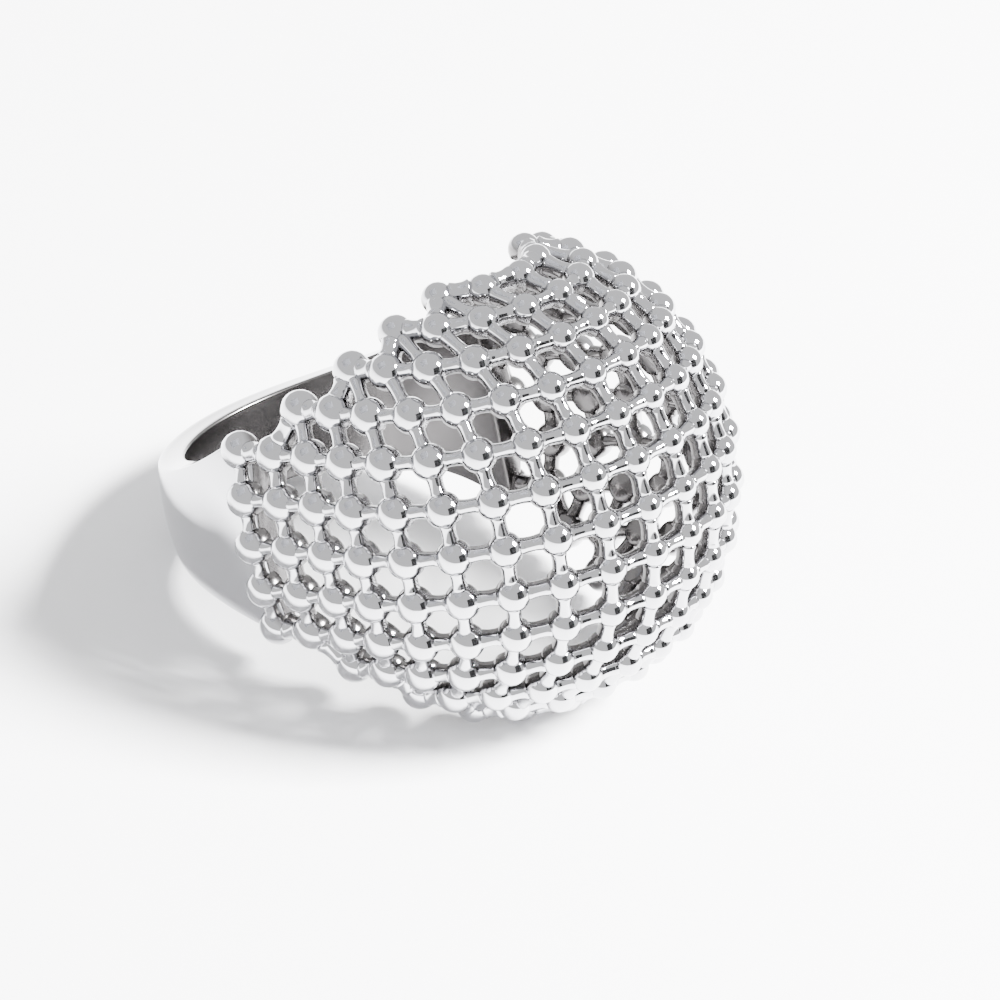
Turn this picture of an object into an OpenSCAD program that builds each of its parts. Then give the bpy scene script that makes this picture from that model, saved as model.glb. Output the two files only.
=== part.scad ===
/* [Finger hole] */
// Inside diameter of the shank, the ring size
finger_d = 17.4; // [15:0.2:21]

/* [Shank] */
// Thickness of the shank's wall half way up
shank_t = 1.6; // [1.3:0.1:2.2]
// Height of the shank at its back, along the finger
shank_back_w = 4.4; // [3:0.2:6]
// Radius of the saddle cut that leaves both edges of the shank hollow
saddle_r = 21; // [19:0.5:30]
// Radius of the crown across the shank's outside
crown_r = 13; // [11:0.5:20]
// Angle from the back of the shank to the end of each arm
arm_angle = 98.5; // [92:0.5:101]

/* [Dome] */
// How far the dome stands out beyond the shank on each side
dome_flare = 0.6; // [0.2:0.1:1.5]
// Distance from the finger's axis to the centre of the dome's curve
dome_shift = 8.5; // [6:0.5:11]
// Angle from the dome's widest line up to its rim, at the front
rim_angle = 74; // [66:1:78]
// How full the level rows stay towards the rims, where 1 makes the front a sphere
row_fullness = 0.84; // [0.7:0.02:1]
// Share by which the rows above and below the widest line are drawn in
row_draw = 0.105; // [0:0.005:0.15]

/* [Net] */
// Columns of balls on each side of the middle one
half_columns = 10; // [9:1:11]
// Balls above and below the widest line in the columns at the front
front_reach = 6; // [5:1:7]
// Balls above and below the widest line in the column on each arm
arm_reach = 2; // [1:1:2]
// How far the first column stands back from the end of the arm
first_back = 0.45; // [0.3:0.05:0.8]
// Diameter of the balls on the arms and next to them
arm_ball_d = 2; // [1.6:0.05:2.1]
// Diameter of the balls in the middle column
front_ball_d = 1.55; // [1.4:0.05:1.9]
// Column, counted from the arm, after which the balls grow smaller
graded_from = 3; // [0:1:8]
// Distance from a ball's centre to the flat on its inner side, as a share of its radius
flat_share = 0.7; // [0.6:0.05:0.9]
// Distance from a ball's centre to the end of a bar inside it, as a share of its radius
bar_inset = 0.6; // [0.5:0.05:0.7]
// Diameter of the bars between the balls
bar_d = 0.7; // [0.5:0.05:0.9]
// Diameter of the bars along both rims
rim_d = 0.95; // [0.7:0.05:1.1]

/* [Hidden] */
round_fn = 96;
net_fn = 24;
finger_r = finger_d / 2;
outer_r = finger_r + shank_t;
dome_r = outer_r + dome_flare;

// the first column's middle ball is centred on the outside of the arm, near its end
arm_x = -outer_r * cos(arm_angle) - first_back;
arm_y = sqrt(outer_r * outer_r - arm_x * arm_x);
// the widest row runs straight from the arm to the dome's centre and then round the front
straight_run = dome_shift - arm_x;
side_taper = (dome_r - arm_y) / straight_run;
column_pitch = (straight_run + dome_r * PI / 2) / half_columns;

// balls above the widest line in column k, counted from the arm
function reach(k) = min(front_reach, arm_reach + floor(k / 2));
// radius of the balls of column k
function ball_r(k) = let (graded = max(0, k - graded_from) / (half_columns - graded_from))
    (arm_ball_d - (arm_ball_d - front_ball_d) * graded) / 2;
// angle of level row v above the widest line, and the radius of its round front
function row_angle(v) = rim_angle * v / front_reach;
function row_r(v) = dome_r * pow(cos(row_angle(v)), row_fullness);
// distance along row v from the middle column to column k
function row_run(k, v) = (half_columns - k) * column_pitch * (1 - row_draw * pow(sin(1.5 * row_angle(v)), 2));
// where row v passes column k, seen from above
function row_xy(run, r) = let (quarter = r * PI / 2) run <= quarter
    ? [dome_shift + r * cos(run / r * 180 / PI), r * sin(run / r * 180 / PI)]
    : [dome_shift - (run - quarter), r - side_taper * (run - quarter)];
// centre of ball v in column k, on the side s of the ring, which is 1 or -1
function ball_at(k, v, s) = let (p = row_xy(row_run(k, v), row_r(v)))
    [p[0], s * p[1], dome_r * sin(row_angle(v))];

// the ring lies on its side, on the lower outer edge of the shank's back and on balls of the lower rim
back_z = shank_back_w / 2;
back_x = outer_r - crown_r + sqrt(crown_r * crown_r - back_z * back_z);
function tilt_onto(p, r) = let (run = p[0] + back_x, drop = -back_z - p[2])
    atan2(drop, run) + asin(r / norm([run, drop]));
rest_tilt = max([for (k = [0 : half_columns]) tilt_onto(ball_at(k, -reach(k), 1), ball_r(k))]);
// how far the tilted ring reaches along X each way, and below the finger's axis
front_x = max([for (k = [0 : half_columns]) for (v = [-reach(k) : reach(k)])
    let (p = ball_at(k, v, 1)) p[0] * cos(rest_tilt) - p[2] * sin(rest_tilt) + ball_r(k)]);
rear_x = -back_x * cos(rest_tilt) - back_z * sin(rest_tilt);
drop_z = back_x * sin(rest_tilt) + back_z * cos(rest_tilt);

// a ball with its inner side smoothed flat for the finger, and its seam between the bars
module ball(p, r) {
    out = [max(p[0] - dome_shift, 0), p[1], p[2]];
    seam = (p[1] < 0 ? -1 : 1) * (p[2] < 0 ? 45 : 135);
    translate(p) rotate([0, acos(out[2] / norm(out)), atan2(out[1], out[0])]) rotate([0, 0, seam])
        difference() {
            sphere(r = r, $fn = net_fn);
            translate([-2 * r, -2 * r, -(4 + flat_share) * r]) cube(4 * r);
        }
}

// a bar between two balls of the radii p_r and q_r
module bar(p, q, p_r, q_r, d) {
    run = q - p;
    translate(p) rotate([0, acos(run[2] / norm(run)), atan2(run[1], run[0])])
        translate([0, 0, bar_inset * p_r])
            cylinder(d = d, h = norm(run) - bar_inset * (p_r + q_r), $fn = net_fn);
}

module balls() {
    for (s = [-1, 1])
        for (k = [0 : half_columns - (s + 1) / 2])
            for (v = [-reach(k) : reach(k)]) ball(ball_at(k, v, s), ball_r(k));
}

module upright_bars() {
    for (s = [-1, 1])
        for (k = [0 : half_columns - (s + 1) / 2])
            for (v = [-reach(k) : reach(k) - 1])
                bar(ball_at(k, v, s), ball_at(k, v + 1, s), ball_r(k), ball_r(k), bar_d);
}

// the bars from each column to the next, with a slanting bar where the rim steps up or down
module level_bars() {
    for (s = [-1, 1])
        for (k = [0 : half_columns - 1]) {
            n = reach(k);
            m = reach(k + 1);
            for (v = [-n : n])
                bar(ball_at(k, v, s), ball_at(k + 1, v, s), ball_r(k), ball_r(k + 1),
                    abs(v) == n && m == n ? rim_d : bar_d);
            if (m > n)
                for (z = [-1, 1])
                    bar(ball_at(k, z * n, s), ball_at(k + 1, z * m, s), ball_r(k), ball_r(k + 1), rim_d);
        }
}

module shank() {
    difference() {
        rotate([0, 0, 180 - arm_angle]) rotate_extrude(angle = 2 * arm_angle, $fn = round_fn)
            intersection() {
                translate([outer_r - crown_r, 0]) circle(r = crown_r, $fn = round_fn);
                translate([finger_r, -crown_r]) square([shank_t, 2 * crown_r]);
            }
        for (z = [-1, 1]) translate([-outer_r, 0, z * (back_z + saddle_r)]) rotate([90, 0, 0])
            cylinder(r = saddle_r, h = 3 * outer_r, center = true, $fn = round_fn);
    }
}

// one casting, with the dome towards +X and lying on its side
module ring() {
    color("silver") translate([-(front_x + rear_x) / 2, 0, drop_z]) rotate([0, -rest_tilt, 0]) {
        shank();
        balls();
        upright_bars();
        level_bars();
    }
}

ring();
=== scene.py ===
"""Dome ring in polished silver: an open net of beads and bars, domed over the finger, on a smooth shank."""

import math

import bmesh
import bpy
from bpy.props import FloatProperty, FloatVectorProperty, IntProperty, PointerProperty, StringProperty
from mathutils import Matrix, Vector


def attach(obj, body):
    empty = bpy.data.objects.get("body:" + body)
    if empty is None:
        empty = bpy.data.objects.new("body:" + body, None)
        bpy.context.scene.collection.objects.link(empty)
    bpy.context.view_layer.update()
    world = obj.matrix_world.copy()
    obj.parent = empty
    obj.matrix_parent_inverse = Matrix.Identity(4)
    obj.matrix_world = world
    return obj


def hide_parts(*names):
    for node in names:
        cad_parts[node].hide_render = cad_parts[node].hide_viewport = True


bl_info = {
    "name": "Dome ring",
    "version": (1, 0, 0),
    "blender": (4, 5, 0),
    "location": "3D View > Sidebar > Dome Ring",
    "description": "Builds a polished dome ring and the small studio that it lies in",
    "category": "Add Mesh",
}

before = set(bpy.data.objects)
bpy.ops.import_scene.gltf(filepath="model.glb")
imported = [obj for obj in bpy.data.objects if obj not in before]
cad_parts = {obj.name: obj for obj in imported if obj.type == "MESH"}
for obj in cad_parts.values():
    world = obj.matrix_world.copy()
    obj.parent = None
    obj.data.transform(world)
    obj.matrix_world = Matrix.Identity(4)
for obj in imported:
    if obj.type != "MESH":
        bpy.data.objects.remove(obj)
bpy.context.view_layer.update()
MM = 0.001

# faces of the shank along its bend, and along each side of its section
BEND_STEPS = 200
WALL_STEPS, EDGE_STEPS, CROWN_STEPS = 6, 4, 10
# rounds of the search for the corner between the shank's crown and its edge
CORNER_ROUNDS = 6
# steps across the rounding of the shank's edges, and the turn from which an edge is rounded
EDGE_SEGMENTS = 4
SHARP_EDGE = math.radians(40)
# subdivision draws a round shape in, so its cage is made this much larger
BEAD_CAGE = 1.04
BAR_CAGE = 1.105
# fineness of the cages of a bead and a bar
BEAD_SPLITS = 2
BAR_SIDES = 8
BAR_CUTS = 3
# the higher this power, the shorter the flares at the ends of a bar
FLARE_POWER = 4
# the metal is fully polished and free of the painted shade laid on its inside where it faces away from the
# ring's middle by more than this cosine
POLISH_AND_SHADE_FROM = 0.4
# depth of the waves left by polishing, and how much of it shows
WAVE_DEPTH = 0.1 * MM
WAVE_STRENGTH = 0.04


def length(name, description, millimetres):
    """A size in metres whose default is given in millimetres."""
    return FloatProperty(name=name, description=description, default=millimetres * MM, unit="LENGTH",
                         precision=5)


def angle(name, description, degrees):
    """An angle whose default is given in degrees."""
    return FloatProperty(name=name, description=description, default=math.radians(degrees), subtype="ANGLE")


def share(name, description, default):
    """A plain number."""
    return FloatProperty(name=name, description=description, default=default, precision=3)


def count(name, description, default):
    """A whole number."""
    return IntProperty(name=name, description=description, default=default, min=1)


def hex_colour(name, description, default):
    """An sRGB colour, written as six hex digits after a hash sign."""
    return StringProperty(name=name, description=description, default=default)


class RingSizes(bpy.types.PropertyGroup):
    """Driving sizes of the ring, as in the model of its solids."""

    finger: length("Finger hole", "Inside diameter of the shank", 17.4)
    shank_thickness: length("Shank thickness", "Thickness of the shank half way up", 1.6)
    back_width: length("Back width", "Height of the shank at its back, along the finger", 4.4)
    saddle: length("Saddle radius", "Radius of the hollow that both edges of the shank follow", 21.0)
    crown: length("Crown radius", "Radius of the crown across the outside of the shank", 13.0)
    edge: length("Edge rounding", "Rounding along the edges of the shank", 0.16)
    arm_rounding: length("Arm rounding", "Rounding of the corners where each arm ends", 1.3)
    arm_angle: angle("Arm angle", "Angle from the back of the shank to the end of each arm", 98.5)
    flare: length("Dome flare", "How far the dome stands out beyond the shank on each side", 0.6)
    shift: length("Dome shift", "Distance from the finger's axis to the centre of the dome's curve", 8.5)
    rim_angle: angle("Rim angle", "Angle from the dome's widest line up to its rim", 74.0)
    fullness: share("Row fullness", "How full the level rows stay towards the rims", 0.84)
    draw: share("Row draw", "Share by which the rows beside the widest line are drawn in", 0.105)
    half_columns: count("Half columns", "Columns of beads on each side of the middle one", 10)
    front_reach: count("Front reach", "Beads above and below the widest line at the front", 6)
    arm_reach: count("Arm reach", "Beads above and below the widest line on each arm", 2)
    first_back: length("First column", "How far the first column stands back from the end of the arm", 0.45)
    arm_bead: length("Arm bead", "Diameter of the beads on the arms and next to them", 2.0)
    front_bead: length("Front bead", "Diameter of the beads in the middle column", 1.55)
    graded_from: count("Graded from", "Column, counted from the arm, after which the beads grow smaller", 3)
    flat_share: share("Bead flat", "Distance to the flat inside a bead, as a share of its radius", 0.7)
    bar_inset: share("Bar inset", "Distance to a bar's end inside a bead, as a share of its radius", 0.6)
    bar: length("Bar", "Diameter of the bars between the beads", 0.7)
    rim: length("Rim bar", "Diameter of the bars along both rims", 0.95)
    bar_depth: share("Bar depth", "Depth of a bar into the net, as a share of its width", 1.3)
    bar_flare: share("Bar flare", "How much wider a bar is where it enters a bead", 0.4)


class SilverFinishAndShade(bpy.types.PropertyGroup):
    """Colour and polishing of the silver, and the painted shade of its inside."""

    colour: hex_colour("Outside", "Colour of the polished outside", "#C2C2C5")
    # the inside colour is painted shade: a darker grey laid where the silver faces the ring's middle
    inside: hex_colour("Inside", "Colour of the inside, which the polishing wheel doesn't reach", "#737171")
    roughness: share("Roughness", "Roughness of the polished outside", 0.05)
    inside_roughness: share("Inside roughness", "Roughness of the satin inside", 0.22)
    ripple: length("Ripple", "Size of the faint waves that polishing by hand leaves", 1.6)


class Studio(bpy.types.PropertyGroup):
    """Floor, lights and camera."""

    floor: hex_colour("Floor", "Colour of the floor", "#FBFBFC")
    azimuth: angle("Camera azimuth", "Camera's angle round the ring, from its -Y side towards +X", 31.45)
    elevation: angle("Camera elevation", "Camera's angle above the floor", 33.5)
    roll: angle("Camera roll", "Turn of the camera about its own line of sight", 10.5)
    distance: length("Camera distance", "Distance from the camera to the point it aims at", 315.0)
    lens: FloatProperty(name="Lens", description="Focal length on a 36 mm sensor, in mm", default=229.8)
    aim: FloatVectorProperty(name="Aim", description="Point that the camera aims at",
                             default=(1.12 * MM, 3.3 * MM, 5.87 * MM), unit="LENGTH", precision=5)


class Plan:
    """Where everything is in the ring's own frame, with the finger along Z and the dome towards +X."""

    def __init__(self, sizes):
        self.sizes = sizes
        self.finger_r = sizes.finger / 2
        self.outer_r = self.finger_r + sizes.shank_thickness
        self.dome_r = self.outer_r + sizes.flare
        self.back_z = sizes.back_width / 2
        self.arm_x = -self.outer_r * math.cos(sizes.arm_angle) - sizes.first_back
        arm_y = math.sqrt(self.outer_r ** 2 - self.arm_x ** 2)
        straight = sizes.shift - self.arm_x
        self.taper = (self.dome_r - arm_y) / straight
        self.pitch = (straight + self.dome_r * math.pi / 2) / sizes.half_columns

    def reach(self, column):
        """Beads above the widest line in a column, counted from the arm."""
        return min(self.sizes.front_reach, self.sizes.arm_reach + column // 2)

    def bead_r(self, column):
        """Radius of the beads of a column."""
        sizes = self.sizes
        graded = max(0, column - sizes.graded_from) / (sizes.half_columns - sizes.graded_from)
        return (sizes.arm_bead - (sizes.arm_bead - sizes.front_bead) * graded) / 2

    def bead(self, column, row, side):
        """Centre of a bead, on the side 1 or -1."""
        sizes = self.sizes
        rise = sizes.rim_angle * row / sizes.front_reach
        radius = self.dome_r * math.cos(rise) ** sizes.fullness
        drawn = 1 - sizes.draw * math.sin(1.5 * rise) ** 2
        run = (sizes.half_columns - column) * self.pitch * drawn
        quarter = radius * math.pi / 2
        height = self.dome_r * math.sin(rise)
        if run <= quarter:
            turn = run / radius
            return Vector((sizes.shift + radius * math.cos(turn), side * radius * math.sin(turn), height))
        past = run - quarter
        return Vector((sizes.shift - past, side * (radius - self.taper * past), height))

    def outwards(self, centre):
        """Direction in which a bead faces away from the dome."""
        return Vector((max(centre.x - self.sizes.shift, 0), centre.y, centre.z)).normalized()

    def columns(self):
        """Each column as its number and side, with the middle one once."""
        for side in (-1, 1):
            for column in range(self.sizes.half_columns + (1 if side < 0 else 0)):
                yield column, side

    def beads(self):
        """Centre and radius of each bead."""
        for column, side in self.columns():
            reach = self.reach(column)
            for row in range(-reach, reach + 1):
                yield self.bead(column, row, side), self.bead_r(column)

    def bar(self, first, second, side, diameter):
        """Ends and diameter of a bar between two beads, each given as its column and row."""
        start, end = self.bead(*first, side), self.bead(*second, side)
        along = (end - start).normalized() * self.sizes.bar_inset
        return start + along * self.bead_r(first[0]), end - along * self.bead_r(second[0]), diameter

    def bars(self):
        """Ends and diameter of each bar."""
        sizes = self.sizes
        for column, side in self.columns():
            reach = self.reach(column)
            for row in range(-reach, reach):
                yield self.bar((column, row), (column, row + 1), side, sizes.bar)
        for side in (-1, 1):
            for column in range(sizes.half_columns):
                after = column + 1
                reach, next_reach = self.reach(column), self.reach(after)
                for row in range(-reach, reach + 1):
                    on_rim = abs(row) == reach == next_reach
                    yield self.bar((column, row), (after, row), side, sizes.rim if on_rim else sizes.bar)
                if next_reach > reach:
                    for up in (-1, 1):
                        yield self.bar((column, up * reach), (after, up * next_reach), side, sizes.rim)

    def resting(self):
        """Lays the ring on its side, on the shank's back and the lower rim, in the middle of the floor."""
        sizes = self.sizes
        back_x = self.crown_r(self.back_z)
        tilt = 0.0
        for column in range(sizes.half_columns + 1):
            low = self.bead(column, -self.reach(column), 1)
            run, drop = low.x + back_x, -self.back_z - low.z
            tilt = max(tilt, math.atan2(drop, run) + math.asin(self.bead_r(column) / math.hypot(run, drop)))
        front = max(p.x * math.cos(tilt) - p.z * math.sin(tilt) + r for p, r in self.beads())
        rear = -back_x * math.cos(tilt) - self.back_z * math.sin(tilt)
        lift = back_x * math.sin(tilt) + self.back_z * math.cos(tilt)
        return Matrix.Translation((-(front + rear) / 2, 0, lift)) @ Matrix.Rotation(-tilt, 4, "Y")

    def crown_r(self, height):
        """Distance of the shank's outside from the finger's axis, at a height along the finger."""
        crown = self.sizes.crown
        return self.outer_r - crown + math.sqrt(crown ** 2 - height ** 2)

    def edge_z(self, x):
        """Height of the shank's edge, which hollows down to the back."""
        saddle = self.sizes.saddle
        return self.back_z + saddle - math.sqrt(saddle ** 2 - (x + self.outer_r) ** 2)

    def shank_edge(self, radius, turn, cut_back):
        """Height of the shank's edge at a distance from the finger's axis, less its end's rounding."""
        return self.edge_z(radius * math.cos(turn)) - cut_back

    def shank_point(self, along, side, share_of_side):
        """Point of the shank, at a share of its bend and a share of one side of its section."""
        turn = math.pi + self.sizes.arm_angle * (2 * along - 1)
        rounding = self.sizes.arm_rounding
        to_end = min(along, 1 - along) * 2 * self.sizes.arm_angle * self.outer_r
        past = max(0.0, rounding - to_end)
        cut_back = rounding - math.sqrt(rounding ** 2 - past ** 2)
        corner_r = self.outer_r
        for _ in range(CORNER_ROUNDS):
            corner_r = self.crown_r(self.shank_edge(corner_r, turn, cut_back))
        if side == "wall":
            radius = self.finger_r
            height = self.shank_edge(radius, turn, cut_back) * (2 * share_of_side - 1)
        elif side == "crown":
            height = self.shank_edge(corner_r, turn, cut_back) * (1 - 2 * share_of_side)
            radius = self.crown_r(height)
        else:
            inwards = share_of_side if side == "lower" else 1 - share_of_side
            radius = corner_r + (self.finger_r - corner_r) * inwards
            height = self.shank_edge(radius, turn, cut_back) * (-1 if side == "lower" else 1)
        return Vector((radius * math.cos(turn), radius * math.sin(turn), height))


def linear(colour):
    """Turns an sRGB hex colour to linear values with an alpha of one."""
    values = [int(colour[i:i + 2], 16) / 255 for i in (1, 3, 5)]
    return [v / 12.92 if v <= 0.04045 else ((v + 0.055) / 1.055) ** 2.4 for v in values] + [1.0]


def add_node(tree, kind, settings=(), links=()):
    """Adds a node, sets its properties and sockets and links sockets of other nodes to it."""
    node = tree.nodes.new(kind)
    for name, value in dict(settings).items():
        if name in node.inputs:
            node.inputs[name].default_value = value
        else:
            setattr(node, name, value)
    for name, source in dict(links).items():
        tree.links.new(source, node.inputs[name])
    return node


def new_material(name):
    """A material with an empty tree and its output."""
    material = bpy.data.materials.new(name)
    material.use_nodes = True
    material.node_tree.nodes.clear()
    return material, material.node_tree


def polished_silver(finish_and_shade, middle):
    """Cast sterling silver, polished on a wheel outside and left satin inside, with painted shade darkening
    the inside.
    """
    # the outside is bright and almost colourless, and what faces the finger is duller and painted darker as
    # shade
    material, tree = new_material("Polished sterling silver")
    place = add_node(tree, "ShaderNodeTexCoord")
    from_middle = add_node(tree, "ShaderNodeVectorMath", {"operation": "SUBTRACT"},
                           {0: place.outputs["Object"]})
    from_middle.inputs[1].default_value = middle
    outwards = add_node(tree, "ShaderNodeVectorMath", {"operation": "NORMALIZE"},
                        {0: from_middle.outputs["Vector"]})
    facing = add_node(tree, "ShaderNodeVectorMath", {"operation": "DOT_PRODUCT"},
                      {0: outwards.outputs["Vector"], 1: place.outputs["Normal"]})
    # this mask sets both the satin roughness of the inside and where the painted shade falls
    polish_and_shade = add_node(tree, "ShaderNodeMapRange", {"From Min": 0.0, "From Max": POLISH_AND_SHADE_FROM},
                      {"Value": facing.outputs["Value"]})
    # the darker inside colour mixed in here is painted shade on the faces turned to the ring's middle
    tint_with_painted_shade = add_node(tree, "ShaderNodeMix", {"data_type": "RGBA"}, {"Factor": polish_and_shade.outputs["Result"]})
    tint_with_painted_shade.inputs[6].default_value = linear(finish_and_shade.inside)
    tint_with_painted_shade.inputs[7].default_value = linear(finish_and_shade.colour)
    gloss = add_node(tree, "ShaderNodeMapRange",
                     {"To Min": finish_and_shade.inside_roughness, "To Max": finish_and_shade.roughness},
                     {"Value": polish_and_shade.outputs["Result"]})
    waves = add_node(tree, "ShaderNodeTexNoise", {"Scale": 1 / finish_and_shade.ripple, "Detail": 1.0},
                     {"Vector": place.outputs["Object"]})
    bump = add_node(tree, "ShaderNodeBump", {"Strength": WAVE_STRENGTH, "Distance": WAVE_DEPTH},
                    {"Height": waves.outputs["Fac"]})
    metal = add_node(tree, "ShaderNodeBsdfPrincipled", {"Metallic": 1.0},
                     {"Base Color": tint_with_painted_shade.outputs[2], "Roughness": gloss.outputs["Result"],
                      "Normal": bump.outputs["Normal"]})
    add_node(tree, "ShaderNodeOutputMaterial", links={"Surface": metal.outputs["BSDF"]})
    return material


def painted_board(name, colour, roughness):
    """Smooth painted board, for the floor and the cards round the ring."""
    # even and matt, so that it gives the silver clean areas to mirror
    material, tree = new_material(name)
    paint = add_node(tree, "ShaderNodeBsdfPrincipled",
                     {"Base Color": linear(colour), "Roughness": roughness})
    add_node(tree, "ShaderNodeOutputMaterial", links={"Surface": paint.outputs["BSDF"]})
    return material


def silver(plan):
    """The ring's one material, made once."""
    made = bpy.data.materials.get("Polished sterling silver")
    middle = plan.resting() @ Vector((plan.sizes.shift / 2, 0, 0))
    return made or polished_silver(bpy.context.scene.silver_finish, middle)


def put_piece(name, bm):
    """Lays a shape made in the ring's own frame in its place, as a piece of the casting."""
    plan = Plan(bpy.context.scene.ring_sizes)
    bmesh.ops.transform(bm, matrix=plan.resting(), verts=bm.verts)
    bmesh.ops.recalc_face_normals(bm, faces=bm.faces)
    for face in bm.faces:
        face.smooth = True
    mesh = bpy.data.meshes.new(name)
    bm.to_mesh(mesh)
    bm.free()
    mesh.materials.append(silver(plan))
    piece = bpy.data.objects.new(name, mesh)
    bpy.context.collection.objects.link(piece)
    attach(piece, "root")
    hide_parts("ring")
    return piece


def subdivide(piece, levels):
    """Rounds a piece, the same in the view and in the render."""
    modifier = piece.modifiers.new("Rounding", "SUBSURF")
    modifier.levels = modifier.render_levels = levels


def add_copy(bm, shape, matrix):
    """Adds a copy of a finished shape to a mesh in the making."""
    known = len(bm.verts)
    bm.from_mesh(shape)
    bm.verts.ensure_lookup_table()
    bmesh.ops.transform(bm, matrix=matrix, verts=bm.verts[known:])


def bead_shape(sizes):
    """One bead of radius 1 with its inner side cut flat, facing +Z."""
    bm = bmesh.new()
    bmesh.ops.create_icosphere(bm, subdivisions=BEAD_SPLITS, radius=BEAD_CAGE)
    cut = bmesh.ops.bisect_plane(bm, geom=bm.verts[:] + bm.edges[:] + bm.faces[:],
                                 plane_co=(0, 0, -sizes.flat_share), plane_no=(0, 0, -1), clear_outer=True)
    rim = [part for part in cut["geom_cut"] if isinstance(part, bmesh.types.BMEdge)]
    bmesh.ops.contextual_create(bm, geom=rim)
    shape = bpy.data.meshes.new("Bead shape")
    bm.to_mesh(shape)
    bm.free()
    return shape


def bar_shape(sizes):
    """One bar of length and radius 1 along +Z, with a waist between its flared ends."""
    bm = bmesh.new()
    bmesh.ops.create_cone(bm, cap_ends=True, segments=BAR_SIDES, radius1=BAR_CAGE, radius2=BAR_CAGE,
                          depth=1.0, matrix=Matrix.Translation((0, 0, 0.5)))
    lengthwise = [edge for edge in bm.edges if abs(edge.verts[0].co.z - edge.verts[1].co.z) > 0.5]
    bmesh.ops.subdivide_edges(bm, edges=lengthwise, cuts=BAR_CUTS, use_grid_fill=True)
    for vert in bm.verts:
        flare = 1 + sizes.bar_flare * abs(2 * vert.co.z - 1) ** FLARE_POWER
        vert.co.x *= flare
        vert.co.y *= flare
    shape = bpy.data.meshes.new("Bar shape")
    bm.to_mesh(shape)
    bm.free()
    return shape


class RING_OT_shank(bpy.types.Operator):
    """Makes the smooth crowned shank with its two arms"""

    bl_idname = "ring.shank"
    bl_label = "Shank"

    def execute(self, context):
        plan = Plan(context.scene.ring_sizes)
        sides = (("wall", WALL_STEPS), ("upper", EDGE_STEPS), ("crown", CROWN_STEPS), ("lower", EDGE_STEPS))
        section = [(side, step / steps) for side, steps in sides for step in range(steps)]
        bm = bmesh.new()
        bmesh.ops.create_grid(bm, x_segments=BEND_STEPS, y_segments=len(section), size=0.5)
        for vert in bm.verts:
            side, share_of_side = section[round((vert.co.y + 0.5) * len(section)) % len(section)]
            vert.co = plan.shank_point(vert.co.x + 0.5, side, share_of_side)
        bmesh.ops.remove_doubles(bm, verts=bm.verts, dist=0.001 * MM)
        bmesh.ops.holes_fill(bm, edges=[edge for edge in bm.edges if edge.is_boundary], sides=0)
        piece = put_piece("Shank", bm)
        rounding = piece.modifiers.new("Edges", "BEVEL")
        rounding.width = context.scene.ring_sizes.edge
        rounding.segments = EDGE_SEGMENTS
        rounding.limit_method = "ANGLE"
        rounding.angle_limit = SHARP_EDGE
        return {"FINISHED"}


class RING_OT_beads(bpy.types.Operator):
    """Makes the beads of the dome"""

    bl_idname = "ring.beads"
    bl_label = "Beads"

    def execute(self, context):
        plan = Plan(context.scene.ring_sizes)
        shape = bead_shape(plan.sizes)
        bm = bmesh.new()
        for centre, radius in plan.beads():
            facing = plan.outwards(centre).to_track_quat("Z", "Y").to_matrix().to_4x4()
            add_copy(bm, shape, Matrix.Translation(centre) @ facing @ Matrix.Scale(radius, 4))
        bpy.data.meshes.remove(shape)
        subdivide(put_piece("Beads", bm), 1)
        return {"FINISHED"}


class RING_OT_bars(bpy.types.Operator):
    """Makes the bars that join the beads, the stouter ones along the rims included"""

    bl_idname = "ring.bars"
    bl_label = "Bars"

    def execute(self, context):
        sizes = context.scene.ring_sizes
        plan = Plan(sizes)
        shape = bar_shape(sizes)
        bm = bmesh.new()
        for start, end, diameter in plan.bars():
            run = end - start
            across = plan.outwards((start + end) / 2).cross(run).normalized()
            depth = run.cross(across).normalized()
            facing = Matrix((depth, across, run.normalized())).transposed().to_4x4()
            stretch = Matrix.Diagonal((sizes.bar_depth * diameter / 2, diameter / 2, run.length, 1))
            add_copy(bm, shape, Matrix.Translation(start) @ facing @ stretch)
        bpy.data.meshes.remove(shape)
        subdivide(put_piece("Bars", bm), 1)
        return {"FINISHED"}


def direction(azimuth, elevation):
    """Direction from the ring, with azimuth from its -Y side towards +X."""
    return Vector((math.sin(azimuth) * math.cos(elevation), -math.cos(azimuth) * math.cos(elevation),
                   math.sin(elevation)))


def board(name, size, matrix, material):
    """A flat board of the studio."""
    bm = bmesh.new()
    bmesh.ops.create_grid(bm, x_segments=1, y_segments=1, size=size / 2, matrix=matrix)
    mesh = bpy.data.meshes.new(name)
    bm.to_mesh(mesh)
    bm.free()
    mesh.materials.append(material)
    piece = bpy.data.objects.new(name, mesh)
    bpy.context.collection.objects.link(piece)
    return piece


def facing_ring(azimuth, elevation, distance):
    """Place of a card or a light that looks at the ring from a direction in degrees."""
    out = direction(math.radians(azimuth), math.radians(elevation))
    return Matrix.Translation(out * distance) @ out.to_track_quat("Z", "Y").to_matrix().to_4x4()


def softbox(name, azimuth, elevation, distance, size, watts):
    """A square light that looks at the ring."""
    light = bpy.data.lights.new(name, "AREA")
    light.size = size
    light.energy = watts
    lamp = bpy.data.objects.new(name, light)
    lamp.matrix_world = facing_ring(azimuth, elevation, distance)
    bpy.context.collection.objects.link(lamp)


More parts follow.
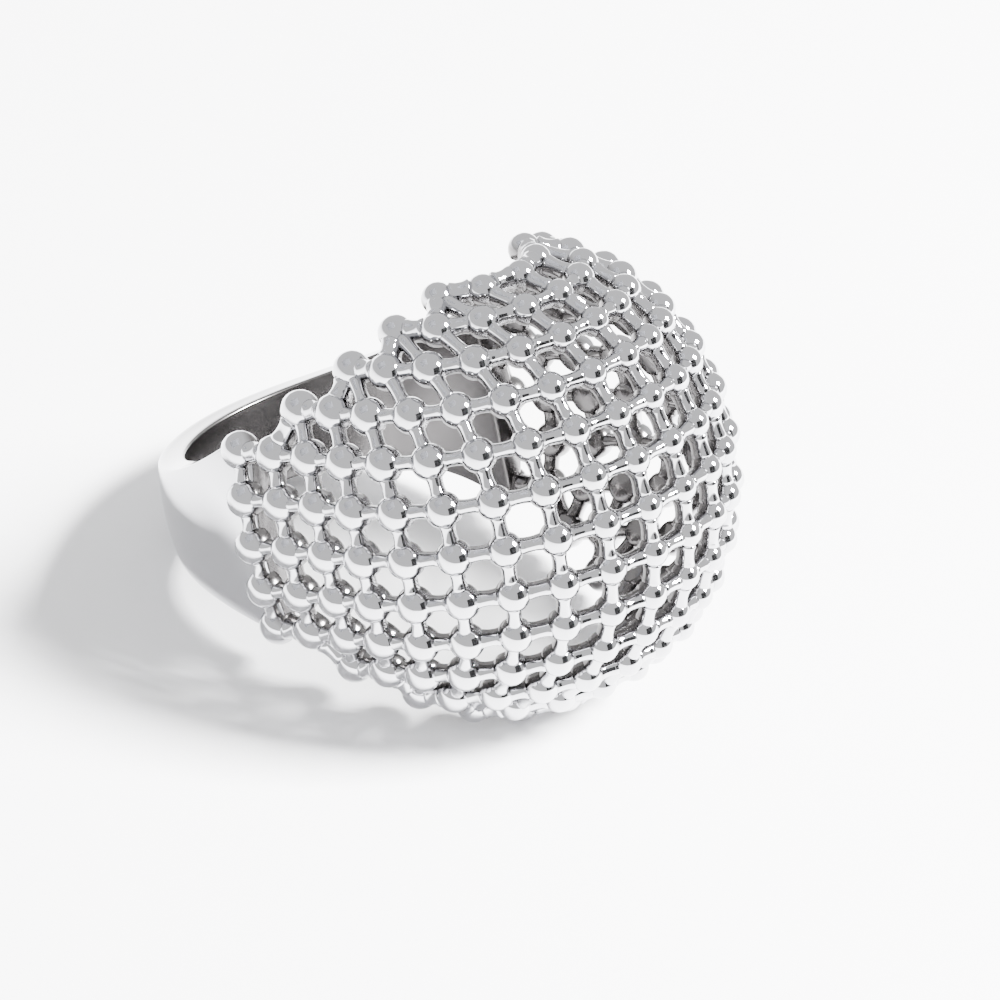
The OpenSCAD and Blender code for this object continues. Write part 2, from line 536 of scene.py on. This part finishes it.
class RING_OT_stage(bpy.types.Operator):
    """Makes the floor, the lights, the dark cards and the camera"""

    bl_idname = "ring.stage"
    bl_label = "Studio"

    def execute(self, context):
        studio = context.scene.ring_studio
        board("Floor", size=3.0, matrix=Matrix(),
              material=painted_board("Matt white board", studio.floor, roughness=0.6))
        # the dark card gives each bead its dark speck, and the grey one keeps its upper half from white
        board("Dark card", size=0.24, matrix=facing_ring(azimuth=88, elevation=24, distance=0.34),
              material=painted_board("Black card", "#0A0A0B", roughness=0.9))
        board("Left card", size=0.30, matrix=facing_ring(azimuth=-42, elevation=52, distance=0.40),
              material=painted_board("Grey card", "#6E6F72", roughness=0.9))
        softbox("Key", azimuth=128, elevation=46, distance=0.45, size=0.14, watts=26.0)
        world = bpy.data.worlds.new("Pale room")
        world.use_nodes = True
        world.node_tree.nodes.clear()
        room = add_node(world.node_tree, "ShaderNodeBackground",
                        {"Color": linear("#FFFFFF"), "Strength": 1.3})
        add_node(world.node_tree, "ShaderNodeOutputWorld", links={"Surface": room.outputs["Background"]})
        context.scene.world = world
        camera = bpy.data.cameras.new("Camera")
        camera.lens = studio.lens
        camera.sensor_width = 36
        camera.clip_start = 0.01
        camera.clip_end = 10
        out = direction(studio.azimuth, studio.elevation)
        eye = bpy.data.objects.new("Camera", camera)
        eye.matrix_world = (Matrix.Translation(Vector(studio.aim) + out * studio.distance)
                            @ out.to_track_quat("Z", "Y").to_matrix().to_4x4()
                            @ Matrix.Rotation(studio.roll, 4, "Z"))
        context.collection.objects.link(eye)
        context.scene.camera = eye
        return {"FINISHED"}


class RING_PT_panel(bpy.types.Panel):
    """Lists the pieces of the ring and its studio"""

    bl_idname = "RING_PT_panel"
    bl_label = "Dome Ring"
    bl_space_type = "VIEW_3D"
    bl_region_type = "UI"
    bl_category = "Dome Ring"

    def draw(self, context):
        for operator in OPERATORS:
            self.layout.operator(operator.bl_idname)
        for group in (context.scene.ring_sizes, context.scene.silver_finish, context.scene.ring_studio):
            column = self.layout.column()
            for name in group.__annotations__:
                column.prop(group, name)


GROUPS = {"ring_sizes": RingSizes, "silver_finish": SilverFinishAndShade, "ring_studio": Studio}
OPERATORS = (RING_OT_shank, RING_OT_beads, RING_OT_bars, RING_OT_stage)


def register():
    for cls in (*GROUPS.values(), *OPERATORS, RING_PT_panel):
        bpy.utils.register_class(cls)
    for name, group in GROUPS.items():
        setattr(bpy.types.Scene, name, PointerProperty(type=group))


def unregister():
    for name in GROUPS:
        delattr(bpy.types.Scene, name)
    for cls in reversed((*GROUPS.values(), *OPERATORS, RING_PT_panel)):
        bpy.utils.unregister_class(cls)


def main():
    register()
    bpy.ops.ring.shank()
    bpy.ops.ring.beads()
    bpy.ops.ring.bars()
    bpy.ops.ring.stage()


if __name__ == "__main__":
    main()
